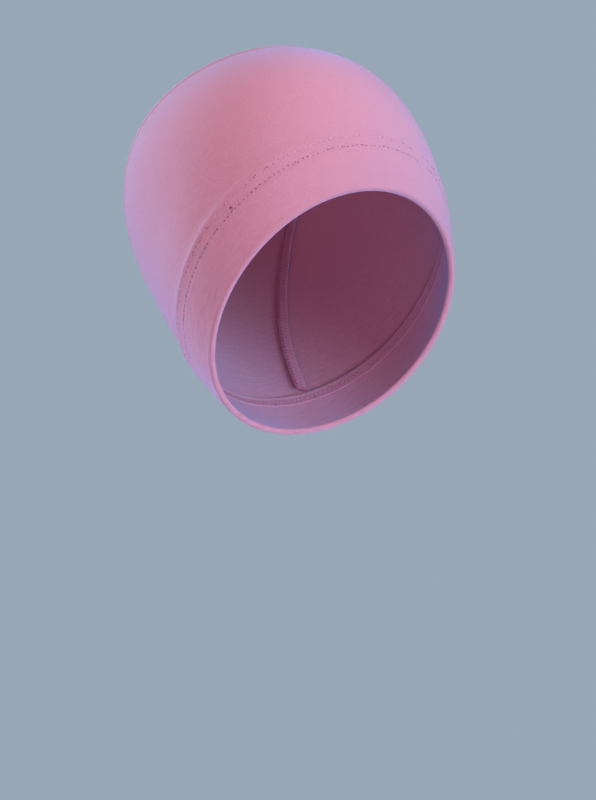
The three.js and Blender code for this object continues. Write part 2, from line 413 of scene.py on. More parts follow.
# Cotton jersey with a little elastane, knitted fine. The right side shows columns of
# slanting stitch legs, the wrong side rows of round loops. The real wales are about
# 0.5 mm apart, finer than a pixel, and are drawn twice as wide so that they show.
WALE = 1.15 * MM
COURSE = 0.85 * MM
KNIT_RELIEF = 0.09 * MM
LEG_SLANT = 0.55                    # courses that a stitch leg climbs across half a wale
LOOP_BOW = 0.25                     # courses that a loop on the wrong side bows
LEG_WAVE = 0.3                      # how much each leg swells and thins
STREAK_LENGTH = 7 * MM              # courses drawn into short lines along the hem
STREAK_SPACING = 1.9 * MM
MOTTLE = 0.9 * MM                   # uneven yarn
MOTTLE_RELIEF = 0.4 * MM
MOTTLE_SHADE = 0.24
CREASE_LENGTH = 16 * MM             # faint creases along the hem
CREASE_SPACING = 2.4 * MM
CREASE_RELIEF = 0.16 * MM
PUCKER = 1.1 * MM                   # the needle rows gather the cloth
PUCKER_RELIEF = 0.45 * MM
PUCKER_REACH = 3.2 * MM
OPEN_SHADE = 0.2                    # painted shade between stitches that are stretched apart
STREAK_SHADE = 0.5                  # light and dark courses where they are stretched
BROW_OPEN = 0.1                     # the share of both over the forehead
OPEN_UPS = (50 * MM, 150 * MM)      # where the stretch begins to ease, and has gone
MEAN_LOOP = 0.45                    # the loops' mean height

# Where the needles went through, each hole darkened with painted shade. One has cut a yarn,
# and left a hole between the rows ahead of the wearer's right ear.
HOLE_RADIUS = 0.45 * MM
HOLE_RELIEF = 0.3 * MM
HOLE_SHADE = 0.45
HOLE_STRAY = 0.5 * MM               # no hole lies quite on its row
UPPER_ROW = 0.6                     # how strongly it shows beside the lower row
SNAG_TURN = math.radians(-68.5)
SNAG_UP = 27.3 * MM
SNAG_RADIUS = 0.65 * MM

# Noise over the cloth or along the hem: a name, the places it is read at, its size across
# and along them, and its detail
JERSEY_NOISE = [
    ("mottle", "cloth", MOTTLE, MOTTLE, 2.0),
    ("streaks", "stitches", STREAK_LENGTH / STITCH_LENGTH, STREAK_SPACING, 2.0),
    ("gathers", "cloth", PUCKER, PUCKER, 1.0),
    ("creases", "stitches", CREASE_LENGTH / STITCH_LENGTH, CREASE_SPACING, 1.0),
]

# Sums over the knit and the hem, in order: a name, what is done, and to what
RIGHT_SIDE_LOOPS = [
    # from each wale's middle two stitch legs slant upwards
    ("leg", "FRACT", "wale"),
    ("leg", "MULTIPLY_ADD", "leg", 2.0, -1.0),
    ("leg", "ABSOLUTE", "leg"),
    ("round_leg", "MULTIPLY", "leg", math.pi),
    ("round_leg", "SINE", "round_leg"),
    ("slant", "MULTIPLY_ADD", "leg", LEG_SLANT, "course"),
    ("slant", "MULTIPLY", "slant", math.tau),
    ("wave", "COSINE", "slant"),
    ("wave", "MULTIPLY_ADD", "wave", LEG_WAVE, 1 - LEG_WAVE),
    ("loops", "MULTIPLY", "round_leg", "wave"),
]
WRONG_SIDE_LOOPS = [
    # rows of loops that bow up and down from wale to wale
    ("sway", "MULTIPLY", "wale", math.tau),
    ("sway", "SINE", "sway"),
    ("bow", "MULTIPLY_ADD", "sway", LOOP_BOW, "course"),
    ("bow", "MULTIPLY", "bow", math.tau),
    ("wave", "COSINE", "bow"),
    ("loops", "MULTIPLY_ADD", "wave", 0.5, 0.5),
]
HEM_MARKS = [
    # the nearest needle hole, and a chance of its own for each hole
    ("nearest", "ROUND", "stitch"),
    ("from_hole", "SUBTRACT", "stitch", "nearest"),
    ("from_hole", "MULTIPLY", "from_hole", STITCH_LENGTH),
    ("chance", "MULTIPLY", "nearest", 12.9898),
    ("chance", "SINE", "chance"),
    ("chance", "MULTIPLY", "chance", 437.585),
    ("chance", "FRACT", "chance"),
    # how far the nearer of the two rows is
    ("between", "SUBTRACT", "up", HEM_DEPTH + NEEDLE_GAUGE / 2),
    ("from_row", "ABSOLUTE", "between"),
    ("from_row", "SUBTRACT", "from_row", NEEDLE_GAUGE / 2),
    ("stray", "MULTIPLY_ADD", "chance", HOLE_STRAY, -HOLE_STRAY / 2),
    ("from_row", "ADD", "from_row", "stray"),
    ("from_row", "MULTIPLY", "from_row", "from_row"),
    # the cloth gathered beside them
    ("gathered", "DIVIDE", "from_row", -(PUCKER_REACH**2)),
    ("gathered", "EXPONENT", "gathered"),
    ("gathers", "MULTIPLY", "gathers", "gathered"),
    # the holes, which sink the cloth and are darkened with painted shade
    ("hole", "MULTIPLY_ADD", "from_hole", "from_hole", "from_row"),
    ("hole", "DIVIDE", "hole", -(HOLE_RADIUS**2)),
    ("hole", "EXPONENT", "hole"),
    ("strength", "LESS_THAN", "between", 0.0),
    ("strength", "MULTIPLY_ADD", "strength", 1 - UPPER_ROW, UPPER_ROW),
    ("strength", "MULTIPLY", "strength", "chance"),
    ("hole", "MULTIPLY", "hole", "strength"),
    # the snag's hole, darkened with painted shade
    ("snag", "SUBTRACT", "stitch", stitches_to(SNAG_TURN)),
    ("snag", "MULTIPLY", "snag", STITCH_LENGTH),
    ("snag_up", "SUBTRACT", "up", SNAG_UP),
    ("snag", "MULTIPLY", "snag", "snag"),
    ("snag", "MULTIPLY_ADD", "snag_up", "snag_up", "snag"),
    ("snag", "DIVIDE", "snag", -(SNAG_RADIUS**2)),
    ("snag", "EXPONENT", "snag"),
    # creases in the hem alone
    ("in_hem", "LESS_THAN", "up", HEM_DEPTH),
    ("creases", "MULTIPLY", "creases", "in_hem"),
]
SURFACE = [
    ("height", "MULTIPLY", "loops", KNIT_RELIEF),
    ("height", "MULTIPLY_ADD", "gathers", PUCKER_RELIEF, "height"),
    ("height", "MULTIPLY_ADD", "mottle", MOTTLE_RELIEF, "height"),
    ("height", "MULTIPLY_ADD", "hole", -HOLE_RELIEF, "height"),
    ("height", "MULTIPLY_ADD", "creases", CREASE_RELIEF, "height"),
    # the stitches stand further apart behind the ears, where the jersey is stretched most,
    # with painted shade between them
    ("open", "MULTIPLY", "stitch", math.tau / STITCHES),
    ("open", "COSINE", "open"),
    ("open", "MULTIPLY_ADD", "open", (1 - BROW_OPEN) / 2, (1 + BROW_OPEN) / 2),
    ("low", "SUBTRACT", OPEN_UPS[1], "up"),
    ("low", "DIVIDE", "low", OPEN_UPS[1] - OPEN_UPS[0]),
    ("low", "MINIMUM", "low", 1.0),
    ("low", "MAXIMUM", "low", 0.0),
    ("open", "MULTIPLY", "open", "low"),
    # painted shade between the stitches, then the streaks and mottle of the yarn's own tone
    ("shade", "SUBTRACT", "loops", MEAN_LOOP),
    ("shade", "MULTIPLY", "shade", OPEN_SHADE),
    ("streaks", "SUBTRACT", "streaks", 0.5),
    ("shade", "MULTIPLY_ADD", "streaks", STREAK_SHADE, "shade"),
    ("shade", "MULTIPLY_ADD", "shade", "open", 1.0),
    ("mottle_shade", "MULTIPLY_ADD", "mottle", MOTTLE_SHADE, 1 - MOTTLE_SHADE / 2),
    ("shade", "MULTIPLY", "shade", "mottle_shade"),
    # painted shade in the needle holes and the snag, over that of the seam's groove
    ("hollow_shade", "MULTIPLY_ADD", "hole", HOLE_SHADE, "hollow_shade"),
    ("hollow_shade", "ADD", "hollow_shade", "snag"),
    ("hollow_shade", "MINIMUM", "hollow_shade", 1.0),
]


def jersey(name, body, hollow_shade_colour, loops):
    """Matt knitted cotton, whose fuzz catches light from the side."""
    material, tree = blank_material(name)
    sockets = {
        label: add_node(tree, "ShaderNodeUVMap", {"uv_map": label}).outputs[0]
        for label in ("cloth", "stitches")
    }
    knit, rim = (
        add_node(tree, "ShaderNodeSeparateXYZ", None, {0: sockets[label]}).outputs
        for label in ("cloth", "stitches")
    )
    sockets |= {"across_knit": knit[0], "along_knit": knit[1], "stitch": rim[0], "up": rim[1]}
    # painted shade in the seam's groove, kept at the cloth's points
    turned_in = add_node(tree, "ShaderNodeAttribute", {"attribute_name": "hollow_shade"})
    sockets["hollow_shade"] = turned_in.outputs["Fac"]
    for label, places, across, along, detail in JERSEY_NOISE:
        stretched = {"Vector": sockets[places], "Scale": (1 / across, 1 / along, 1)}
        mapped = add_node(tree, "ShaderNodeMapping", None, stretched)
        grain = {"Vector": mapped.outputs[0], "Scale": 1.0, "Detail": detail, "Roughness": 0.6}
        sockets[label] = add_node(tree, "ShaderNodeTexNoise", None, grain).outputs[0]
    counts = [
        ("wale", "DIVIDE", "across_knit", WALE),
        ("course", "DIVIDE", "along_knit", COURSE),
    ]
    for label, operation, *values in counts + loops + HEM_MARKS + SURFACE:
        terms = {i: sockets.get(value, value) for i, value in enumerate(values)}
        step = add_node(tree, "ShaderNodeMath", {"operation": operation}, terms)
        sockets[label] = step.outputs[0]

    bumps = add_node(tree, "ShaderNodeBump", None, {"Height": sockets["height"], "Distance": 1.0})
    dyed = add_node(
        tree, "ShaderNodeMix", {"data_type": "RGBA", "blend_type": "MULTIPLY"},
        {"Factor": 1.0, "A": linear(body), "B": sockets["shade"]},
    )
    colour = add_node(
        tree, "ShaderNodeMix", {"data_type": "RGBA"},
        {"Factor": sockets["hollow_shade"], "A": dyed.outputs["Result"], "B": linear(hollow_shade_colour)},
    )
    finish_material(tree, {
        "Base Color": colour.outputs["Result"],
        "Normal": bumps.outputs[0],
        "Roughness": 0.95,
        "Specular IOR Level": 0.1,
        "Sheen Weight": 0.9,
        "Sheen Roughness": 0.4,
        "Sheen Tint": linear("#9fc0fa"),
    })
    return material


# the second colour is painted shade, for the seam's groove, the needle holes and the snag
jersey_face = jersey("cotton_jersey_right_side", "#ce808d", "#64081f", RIGHT_SIDE_LOOPS)
jersey_back = jersey("cotton_jersey_wrong_side", "#c57a86", "#64081f", WRONG_SIDE_LOOPS)


def finish_piece(name, mesh, replaced=None):
    piece = put(name, mesh)
    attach(piece, "root")
    if replaced:
        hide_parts(replaced)
    return piece


SHARP_ANGLE = math.radians(60)      # cut edges stay crisp, and bends are shaded smooth


def cloth_mesh(name, points, faces, knit, stitched, hollow_shade, inside, materials):
    """A closed piece of cloth. knit and stitched are the corners' places on the cloth and
    along the hem's stitches, hollow_shade is painted shade at each point, and inside marks
    the faces of the wrong side."""
    mesh = bpy.data.meshes.new(name)
    mesh.from_pydata(points.tolist(), [], [list(face) for face in faces])
    for label, places in (("cloth", knit), ("stitches", stitched)):
        layer = mesh.uv_layers.new(name=label)
        layer.data.foreach_set("uv", places.astype(np.float32).ravel())
    shade = mesh.attributes.new("hollow_shade", "FLOAT", "POINT")
    shade.data.foreach_set("value", hollow_shade.astype(np.float32))
    for material in materials:
        mesh.materials.append(material)
    mesh.polygons.foreach_set("material_index", inside.astype(np.int32))
    mesh.polygons.foreach_set("use_smooth", np.ones(len(faces), bool))
    mesh.set_sharp_from_angle(angle=SHARP_ANGLE)
    mesh.validate()
    mesh.update()
    return mesh


def panel_mesh(name, across, fore, faces, border, at_back):
    """A panel of jersey: its right side, the wrong side a cloth's thickness in, and the
    cut edge between them."""
    face = face_point(across, fore)
    normal = face_normal(across, fore)
    outer, inner, hollow_shade = relief(across, fore, face, at_back)
    levels = (outer, inner - CLOTH)
    points = np.concatenate([face + normal * level[:, None] for level in levels])
    count = len(face)
    ahead = np.roll(border, -1)
    edge = np.stack([ahead, border, border + count, ahead + count], axis=1)
    everything = [*faces, *(facet[::-1] + count for facet in faces), *edge]
    inside = np.zeros(len(everything), bool)
    inside[len(faces) : 2 * len(faces)] = True
    turn = np.arctan2(across, fore)
    up = length_above_rim(across, fore)
    knit = knit_back(turn, up, face) if at_back else knit_front(turn, up)
    knit, turn, up = (np.concatenate([values, values]) for values in (knit, turn, up))
    return cloth_mesh(
        name, points, everything, knit[np.concatenate(everything)],
        corner_stitches(turn, up, everything), np.concatenate([hollow_shade, np.zeros(count)]),
        inside, (jersey_face, jersey_back),
    )


def grid_faces(columns, rows):
    i, j = np.meshgrid(np.arange(columns - 1), np.arange(rows - 1), indexing="ij")
    here = (i * rows + j).ravel()
    return np.stack([here, here + rows, here + rows + 1, here + 1], axis=1)


FRONT_COLUMNS = 480
BUTT = 0.04 * MM                    # clearance where the panels meet the hem
HEM_ROWS = np.arange(0, 12.1, 0.5) * MM     # close rows up from the hem, over its ridge
SEAM_INSETS = np.array((0, 0.4, 0.8, 1.2, 1.8, 2.6, 4, 6)) * MM
FRONT_MIDDLE_ROWS = 42
RULING_STEPS = 60                   # to measure each column by

t = np.linspace(0, 1, FRONT_COLUMNS)
front_turns = SEAM_TURN * (2 * t - 1)
foot = [line[:, 0] for line in above_rim(front_turns, [HEM_DEPTH + BUTT])]
top = arch_place(t)
ruling = np.linspace(0, 1, RULING_STEPS)
ruled = face_point(*(a[:, None] + (b - a)[:, None] * ruling for a, b in zip(foot, top)))
column_length = np.linalg.norm(np.diff(ruled, axis=1), axis=2).sum(axis=1)
front_rows = []
for length in column_length:
    middle = np.linspace(HEM_ROWS[-1], length - SEAM_INSETS[-1], FRONT_MIDDLE_ROWS + 2)[1:-1]
    front_rows.append(np.concatenate([HEM_ROWS, middle, length - SEAM_INSETS[::-1]]))
front_rows = np.array(front_rows)
share = front_rows / column_length[:, None]
across, fore = ((a[:, None] + (b - a)[:, None] * share).ravel() for a, b in zip(foot, top))
rows = front_rows.shape[1]
front_border = np.concatenate([
    np.arange(FRONT_COLUMNS - 1) * rows,
    (FRONT_COLUMNS - 1) * rows + np.arange(rows - 1),
    np.arange(FRONT_COLUMNS - 1, 0, -1) * rows + rows - 1,
    np.arange(rows - 1, 0, -1),
])
front_mesh = panel_mesh(
    "front_panel_cloth", across, fore, grid_faces(FRONT_COLUMNS, rows), front_border, at_back=False
)
finish_piece("front_panel_cloth", front_mesh, "front_panel")


# Back panel
# A second piece of the same jersey, shaped like a tongue, over the crown and the back
# down to the nape. Its edge lies over the turned-back seam allowance, which
# shows through as a soft lip along the seam.

BACK_LEG_ROWS = 150
BACK_ARCH_COLUMNS = 170
NAPE_COLUMNS = 130
BACK_MIDDLE = (0.0, -25.0)          # on the chart, where the rings of the mesh close
BACK_INSETS = np.array(
    (0, 0.4, 0.8, 1.2, 1.7, 2.3, 3, 3.8, 4.6, 5.1, 5.6, 6.1, 6.7, 7.4, 8.2, 9.2, 10.5, 12)
) * MM
BACK_RINGS = 22
PAST_FOOT = 0.001                   # of a leg: clear of the corner with the nape's edge

nape_turns = np.linspace(SEAM_TURN, 2 * math.pi - SEAM_TURN, NAPE_COLUMNS)[1:-1]
nape_turns = (nape_turns + math.pi) % math.tau - math.pi
nape_edge = [line[:, 0] for line in above_rim(nape_turns, [HEM_DEPTH + BUTT])]
seam_edge = seam_places(BACK_LEG_ROWS, BACK_ARCH_COLUMNS, start=PAST_FOOT)
edge = [np.concatenate(parts) for parts in zip(seam_edge, nape_edge)]
edge_points = face_point(*edge)
middle_point = face_point(*(np.array([v]) for v in BACK_MIDDLE))
reach = np.linalg.norm(edge_points - middle_point, axis=1)
insets = BACK_INSETS[None, :] / reach[:, None]
ring_shares = np.linspace(0, 1, BACK_RINGS + 1)[1:-1]
inner_shares = insets[:, -1:] + (1 - insets[:, -1:]) * ring_shares
share = np.concatenate([insets, inner_shares], axis=1)
across, fore = (
    np.append((line[:, None] + (centre - line)[:, None] * share).ravel(), centre)
    for line, centre in zip(edge, BACK_MIDDLE)
)
rings = share.shape[1]
count = len(edge[0])
hub = count * rings
i, j = np.meshgrid(np.arange(count), np.arange(rings - 1), indexing="ij")
here = (i * rings + j).ravel()
there = (((i + 1) % count) * rings + j).ravel()
back_faces = list(np.stack([here, there, there + 1, here + 1], axis=1))
ends = np.arange(count) * rings + rings - 1
back_faces += list(np.stack([ends, np.roll(ends, -1), np.full(count, hub)], axis=1))
back_mesh = panel_mesh(
    "back_panel_cloth", across, fore, back_faces, np.arange(count) * rings, at_back=True
)
finish_piece("back_panel_cloth", back_mesh, "back_panel")


# Seam allowance
# The raw edges of both panels, overlocked together and turned back under the back panel.
# It is two plies of the same jersey, and it starts above the turned ply of the hem.

ALLOWANCE_START = 0.061             # of a leg of the seam
ALLOWANCE_COLUMNS = (170, 180)      # on each leg and on the arch
ALLOWANCE_TOP = 0.3 * MM            # below the back panel's wrong side
ALLOWANCE_THICK = 2.4 * MM
ALLOWANCE_EDGE = 6 * MM             # the raw edges, from the seam
ALLOWANCE_SECTION = np.array([      # millimetres from the seam, and share of the thickness
    (0.6, 0.2), (0.6, 0.85), (1.1, 1), (3.3, 1), (5, 0.98), (5.7, 0.9), (6, 0.74), (5.8, 0.52),
    (6, 0.3), (5.7, 0.08), (5, 0), (3.3, 0), (1.1, 0),
])

seam = seam_places(*ALLOWANCE_COLUMNS, start=ALLOWANCE_START)
seam_goal = (np.zeros_like(seam[0]), np.minimum(seam[1], 0))
goal_distance = np.linalg.norm(face_point(*seam) - face_point(*seam_goal), axis=1)


def beside_seam(inset):
    """Chart places beside the seam, on the back panel's side."""
    share = inset / goal_distance[:, None]
    return tuple(
        line[:, None] + (goal - line)[:, None] * share for line, goal in zip(seam, seam_goal)
    )


def allowance_points(inset, level):
    across, fore = beside_seam(inset)
    lifted = lip(inset, length_above_rim(across, fore))
    depth = CLOTH + ALLOWANCE_TOP + level * ALLOWANCE_THICK - lifted
    return face_point(across, fore) - face_normal(across, fore) * depth[..., None]


insets, levels = ALLOWANCE_SECTION.T
insets = insets * MM
points = allowance_points(insets, levels)
columns, section = points.shape[:2]
seam_arc = np.concatenate([[0], np.cumsum(np.linalg.norm(np.diff(points[:, 0], axis=0), axis=1))])
i, j = np.meshgrid(np.arange(columns - 1), np.arange(section), indexing="ij")
i, j = i.ravel(), j.ravel()
k = (j + 1) % section
here, there = i * section, (i + 1) * section
strip_faces = list(np.stack([here + j, here + k, there + k, there + j], axis=1))
last = (columns - 1) * section
strip_faces += [np.arange(section)[::-1], last + np.arange(section)]
knit = np.stack([np.repeat(seam_arc, section), np.tile(insets, columns)], axis=1)
corners = np.concatenate(strip_faces)
allowance_mesh = cloth_mesh(
    "seam_allowance_cloth", points.reshape(-1, 3), strip_faces, knit[corners],
    np.full((len(corners), 2), -1.0), np.zeros(columns * section),
    np.zeros(len(strip_faces), int), (jersey_back,),
)
finish_piece("seam_allowance_cloth", allowance_mesh, "seam_allowance")


# Overlock threads
# Spun polyester dyed to match, from a three-thread overlocker: a needle line beside the
# seam, and looper threads that slant out from it and wrap the raw edges.

LOOP_LENGTH = 2.5 * MM
LOOPER_RADIUS = 0.2 * MM
NEEDLE_LINE = 1.3 * MM              # from the seam
OVERLOCK_DIVE = 0.6 * MM
OVERLOCK_SWAY = math.radians(2)
FIBRE = 0.8 * MM
THREAD_SHADE = 0.3


def spun_thread(name, colour):
    """Matt sewing thread with a slight lustre, a little uneven along its fibres."""
    material, tree = blank_material(name)
    place = add_node(tree, "ShaderNodeTexCoord").outputs["Object"]
    uneven = {"Vector": place, "Scale": 1 / FIBRE, "Detail": 1.0}
    fibre = add_node(tree, "ShaderNodeTexNoise", None, uneven).outputs[0]
    shade = add_node(
        tree, "ShaderNodeMath", {"operation": "MULTIPLY_ADD"},
        {0: fibre, 1: THREAD_SHADE, 2: 1 - THREAD_SHADE / 2},
    )
    dyed = add_node(
        tree, "ShaderNodeMix", {"data_type": "RGBA", "blend_type": "MULTIPLY"},
        {"Factor": 1.0, "A": linear(colour), "B": shade.outputs[0]},
    )
    finish_material(tree, {
        "Base Color": dyed.outputs["Result"],
        "Roughness": 0.65,
        "Specular IOR Level": 0.3,
        "Sheen Weight": 0.15,
        "Sheen Roughness": 0.4,
        "Sheen Tint": linear("#c6dbff"),
    })
    return material


def sew(name, material, strands, at, chords, outward, radius, reach, dive, sway=0.0):
    """Sews a run of thread: the strands of one stitch, repeated from hole to hole. Each
    strand bends through three places, given in stitches along, reaches across and dives
    outwards. sway turns each stitch a little, at random."""
    mesh = bpy.data.meshes.new(name + "_holes")
    mesh.from_pydata(at.tolist(), [], [])
    for label, vectors in (("chord", chords), ("outward", outward)):
        layer = mesh.attributes.new(label, "FLOAT_VECTOR", "POINT")
        layer.data.foreach_set("vector", vectors.astype(np.float32).ravel())
    holes = put(name + "_holes", mesh)

    tree = bpy.data.node_groups.new(name, "GeometryNodeTree")
    sizes = {"Thread Radius": radius, "Reach": reach, "Dive": dive, "Sway": sway}
    given = {"Material": material, **sizes}
    tree.interface.new_socket("Geometry", in_out="INPUT", socket_type="NodeSocketGeometry")
    for label in sizes:
        tree.interface.new_socket(label, in_out="INPUT", socket_type="NodeSocketFloat")
    tree.interface.new_socket("Material", in_out="INPUT", socket_type="NodeSocketMaterial")
    tree.interface.new_socket("Geometry", in_out="OUTPUT", socket_type="NodeSocketGeometry")
    group = add_node(tree, "NodeGroupInput").outputs
    unit = add_node(
        tree, "ShaderNodeCombineXYZ", None, {"X": 1.0, "Y": group["Reach"], "Z": group["Dive"]}
    ).outputs[0]
    together = add_node(tree, "GeometryNodeJoinGeometry")
    for strand in strands:
        places = [
            add_node(
                tree, "ShaderNodeVectorMath", {"operation": "MULTIPLY"}, {0: unit, 1: place}
            ).outputs[0]
            for place in strand
        ]
        bend = {"Resolution": 3, "Start": places[0], "Middle": places[1], "End": places[2]}
        curve = add_node(tree, "GeometryNodeCurveQuadraticBezier", None, bend)
        tree.links.new(curve.outputs[0], together.inputs[0])
    ring = add_node(
        tree, "GeometryNodeCurvePrimitiveCircle", None,
        {"Resolution": 4, "Radius": group["Thread Radius"]},
    )
    stitch = add_node(
        tree, "GeometryNodeCurveToMesh", None,
        {"Curve": together.outputs[0], "Profile Curve": ring.outputs[0], "Fill Caps": True},
    )
    chord, lift = (
        add_node(
            tree, "GeometryNodeInputNamedAttribute", {"data_type": "FLOAT_VECTOR"}, {"Name": label}
        ).outputs["Attribute"]
        for label in ("chord", "outward")
    )
    facing = add_node(
        tree, "FunctionNodeAxesToRotation", {"primary_axis": "X", "secondary_axis": "Z"},
        {0: chord, 1: lift},
    )
    other_way = add_node(
        tree, "ShaderNodeMath", {"operation": "MULTIPLY"}, {0: group["Sway"], 1: -1.0}
    )
    chance = add_node(
        tree, "FunctionNodeRandomValue", {"data_type": "FLOAT"},
        {2: other_way.outputs[0], 3: group["Sway"], "Seed": 7},
    )
    swing = add_node(tree, "ShaderNodeCombineXYZ", None, {"Z": chance.outputs[1]})
    turned = add_node(tree, "FunctionNodeEulerToRotation", None, {0: swing.outputs[0]})
    swayed = add_node(
        tree, "FunctionNodeRotateRotation", {"rotation_space": "LOCAL"},
        {0: facing.outputs[0], 1: turned.outputs[0]},
    )
    length = add_node(tree, "ShaderNodeVectorMath", {"operation": "LENGTH"}, {0: chord})
    scale = add_node(
        tree, "ShaderNodeCombineXYZ", None, {"X": length.outputs["Value"], "Y": 1.0, "Z": 1.0}
    )
    run = add_node(
        tree, "GeometryNodeInstanceOnPoints", None,
        {
            "Points": group["Geometry"], "Instance": stitch.outputs[0],
            "Rotation": swayed.outputs[0], "Scale": scale.outputs[0],
        },
    )
    real = add_node(tree, "GeometryNodeRealizeInstances", None, {0: run.outputs[0]})
    dressed = add_node(
        tree, "GeometryNodeSetMaterial", None,
        {"Geometry": real.outputs[0], "Material": group["Material"]},
    )
    add_node(tree, "NodeGroupOutput", None, {0: dressed.outputs[0]})

    modifier = holes.modifiers.new("sewn", "NODES")
    modifier.node_group = tree
    for item in tree.interface.items_tree:
        if item.name in given:
            modifier[item.identifier] = given[item.name]
    ready = holes.evaluated_get(bpy.context.evaluated_depsgraph_get())
    sewn = bpy.data.meshes.new_from_object(ready)
    holes.modifiers.remove(modifier)
    bpy.data.objects.remove(holes)
    sewn.name = name
    sewn.polygons.foreach_set("use_smooth", np.ones(len(sewn.polygons), bool))
    return sewn


matching_thread = spun_thread("spun_polyester_thread", "#dc8da3")

near = allowance_points(np.array([0.0]), np.array([1.0]))[:, 0]
far = allowance_points(np.array([ALLOWANCE_EDGE]), np.array([1.0]))[:, 0]
loops = round(seam_arc[-1] / LOOP_LENGTH)
loop_arcs = np.linspace(0, seam_arc[-1], loops + 1)
near, far = (
    np.stack([np.interp(loop_arcs, seam_arc, line[:, axis]) for axis in range(3)], axis=1)
    for line in (near, far)
)
chords = np.diff(near, axis=0)
outward = np.cross(chords, (far - near)[:-1])
line, edge_reach = NEEDLE_LINE / ALLOWANCE_EDGE, 1.02
OVERLOCK_STRANDS = [
    # the needle line, the slanting looper thread out and back, and its wrap of the edge
    ((0, line, 0.1), (0.5, line, -0.5), (1, line, 0.1)),
    ((0, line, -0.2), (0.2, 0.5, -0.7), (0.5, 0.98, -0.2)),
    ((0.5, 0.98, -0.2), (0.8, 0.5, -0.7), (1, line, -0.2)),
    ((0.5, 0.97, -0.3), (0.5, 1.1, 2), (0.5, 0.97, 4.4)),
    ((-0.5, edge_reach, 1), (0, 1.07, 0.6), (0.5, edge_reach, 1)),
]
overlock_mesh = sew(
    "overlock_threads", matching_thread, OVERLOCK_STRANDS, near[:-1], chords, outward,
    radius=LOOPER_RADIUS, reach=ALLOWANCE_EDGE, dive=OVERLOCK_DIVE, sway=OVERLOCK_SWAY,
)
finish_piece("overlock_threads", overlock_mesh)


# Turned hem
# The lower edge of both panels, folded 25.4 mm to the inside and sewn down with a
# twin-needle coverstitch. The fold is soft and rolls a little outwards, and the turned
# ply ends inside, just past the upper needle row.

HEM_COLUMNS = 640
PLIES = 2 * CLOTH + 0.3 * MM        # both plies and the air between them
FOLD = PLIES / 2
ROLL_HEIGHT = 0.55 * MM             # the fold stands out
ROLL_UP = 1.8 * MM
ROLL_WIDTH = 2.2 * MM

# The hem's outline as it is cut across, in millimetres above the rim and below the face:
# down the outer ply, round the fold, up the turned ply, and back between the two
OUTER_UPS = (25.36, 24.9, 24.4, 23.9, 23.2, 22.2, 20.8, 19, 17, 15, 13, 11, 9, 7, 5.2, 3.8, 2.6)
INNER_UPS = (2.6, 4, 6, 8.5, 11, 14, 17, 20, 22.5, 24.6, 25.4, 26.2, 28, 29.8, 31, 31.8, 32.6)
FOLD_TURNS = np.linspace(0, math.pi, 11)
RAW_EDGE = [(33, 2.35), (33.1, 1.95), (32.9, 1.6)]
BETWEEN_PLIES = [(31, 1.5), (28, 1.5), (25.36, 1.5), (25.36, 0.9)]
HEM_SECTION = np.array(
    [(up * MM, 0) for up in OUTER_UPS]
    + [(FOLD * (1 - math.sin(a)), FOLD * (1 - math.cos(a))) for a in FOLD_TURNS]
    + [(up * MM, PLIES) for up in INNER_UPS]
    + [(up * MM, depth * MM) for up, depth in RAW_EDGE + BETWEEN_PLIES]
)

hem_turns = np.linspace(-math.pi, math.pi, HEM_COLUMNS, endpoint=False)
across, fore = (line.ravel() for line in above_rim(hem_turns, HEM_SECTION[:, 0]))
face = face_point(across, fore)
normal = face_normal(across, fore)
at_back = np.abs(np.arctan2(across, fore)) > SEAM_TURN
outer, _, hollow_shade = relief(across, fore, face, at_back)
up = np.tile(HEM_SECTION[:, 0], HEM_COLUMNS)
depth = np.tile(HEM_SECTION[:, 1], HEM_COLUMNS)
outside = 1 - smooth_step(depth / PLIES)
outer += ROLL_HEIGHT * bump(up - ROLL_UP, ROLL_WIDTH)
points = face + normal * (outer * outside - depth)[:, None]
section = len(HEM_SECTION)
i, j = np.meshgrid(np.arange(HEM_COLUMNS), np.arange(section), indexing="ij")
i, j = i.ravel(), j.ravel()
k = (j + 1) % section
after = (i + 1) % HEM_COLUMNS
here, there = i * section, after * section
hem_faces = np.stack([here + j, here + k, there + k, there + j], axis=1)
walk = np.cumsum(np.linalg.norm(np.diff(HEM_SECTION, axis=0, prepend=HEM_SECTION[:1]), axis=1))
cut_up = np.tile(HEM_DEPTH - walk, HEM_COLUMNS)     # the turned ply runs on below the rim
turn = np.arctan2(across, fore)
corners = hem_faces.ravel()
face_turn = np.repeat(hem_turns[i] + math.pi / HEM_COLUMNS, 4)
of_back = np.abs(face_turn) > SEAM_TURN
hem_knit = np.where(
    of_back[:, None],
    knit_back(turn, cut_up, face)[corners],
    knit_front(turn, cut_up)[corners],
)
hem_mesh = cloth_mesh(
    "hem_cloth", points, hem_faces, hem_knit, corner_stitches(turn, cut_up, list(hem_faces)),
    hollow_shade * outside, np.zeros(len(hem_faces), int), (jersey_face,),
)
finish_piece("hem_cloth", hem_mesh, "hem_band")


# Coverstitch
# Two needle threads of the same spun polyester lie along the outside, half sunk in the
# jersey. Inside, a looper thread crosses from row to row, just short of the raw edge of the
# turned ply.

NEEDLE_THREAD_RADIUS = 0.15 * MM
COVER_RADIUS = 0.19 * MM
PIT_RADIUS = 0.24 * MM              # the painted shadow in each needle hole
PIT_STRAY = 0.5 * MM                # no hole lies quite on its row
PIT_WANDER = 0.14                   # of a stitch
PIT_SUNK = {                        # how deep each row's pits may lie, and those half-way
    "lower": (0.24 * MM, 0.9 * MM),
    "upper": (0.6 * MM, 1.4 * MM),
}
OVERLAP_TURN = math.radians(-23.5)  # where the run began, and ends over its own start
OVERLAP_CLIMB = (0.4 * MM, 1.5 * MM, 2.8 * MM)
STITCH_DIVE = 0.3 * MM              # between a stitch's ends and its middle
NEEDLE_SWAY = math.radians(4)
PIT_SWAY = math.radians(20)
COVER_SWAY = math.radians(3)

hole_turns = np.interp(np.arange(STITCHES + 1) / STITCHES * ROW_LENGTH, ROW_ARC, TURNS)
stitch_turn = math.tau / STITCHES


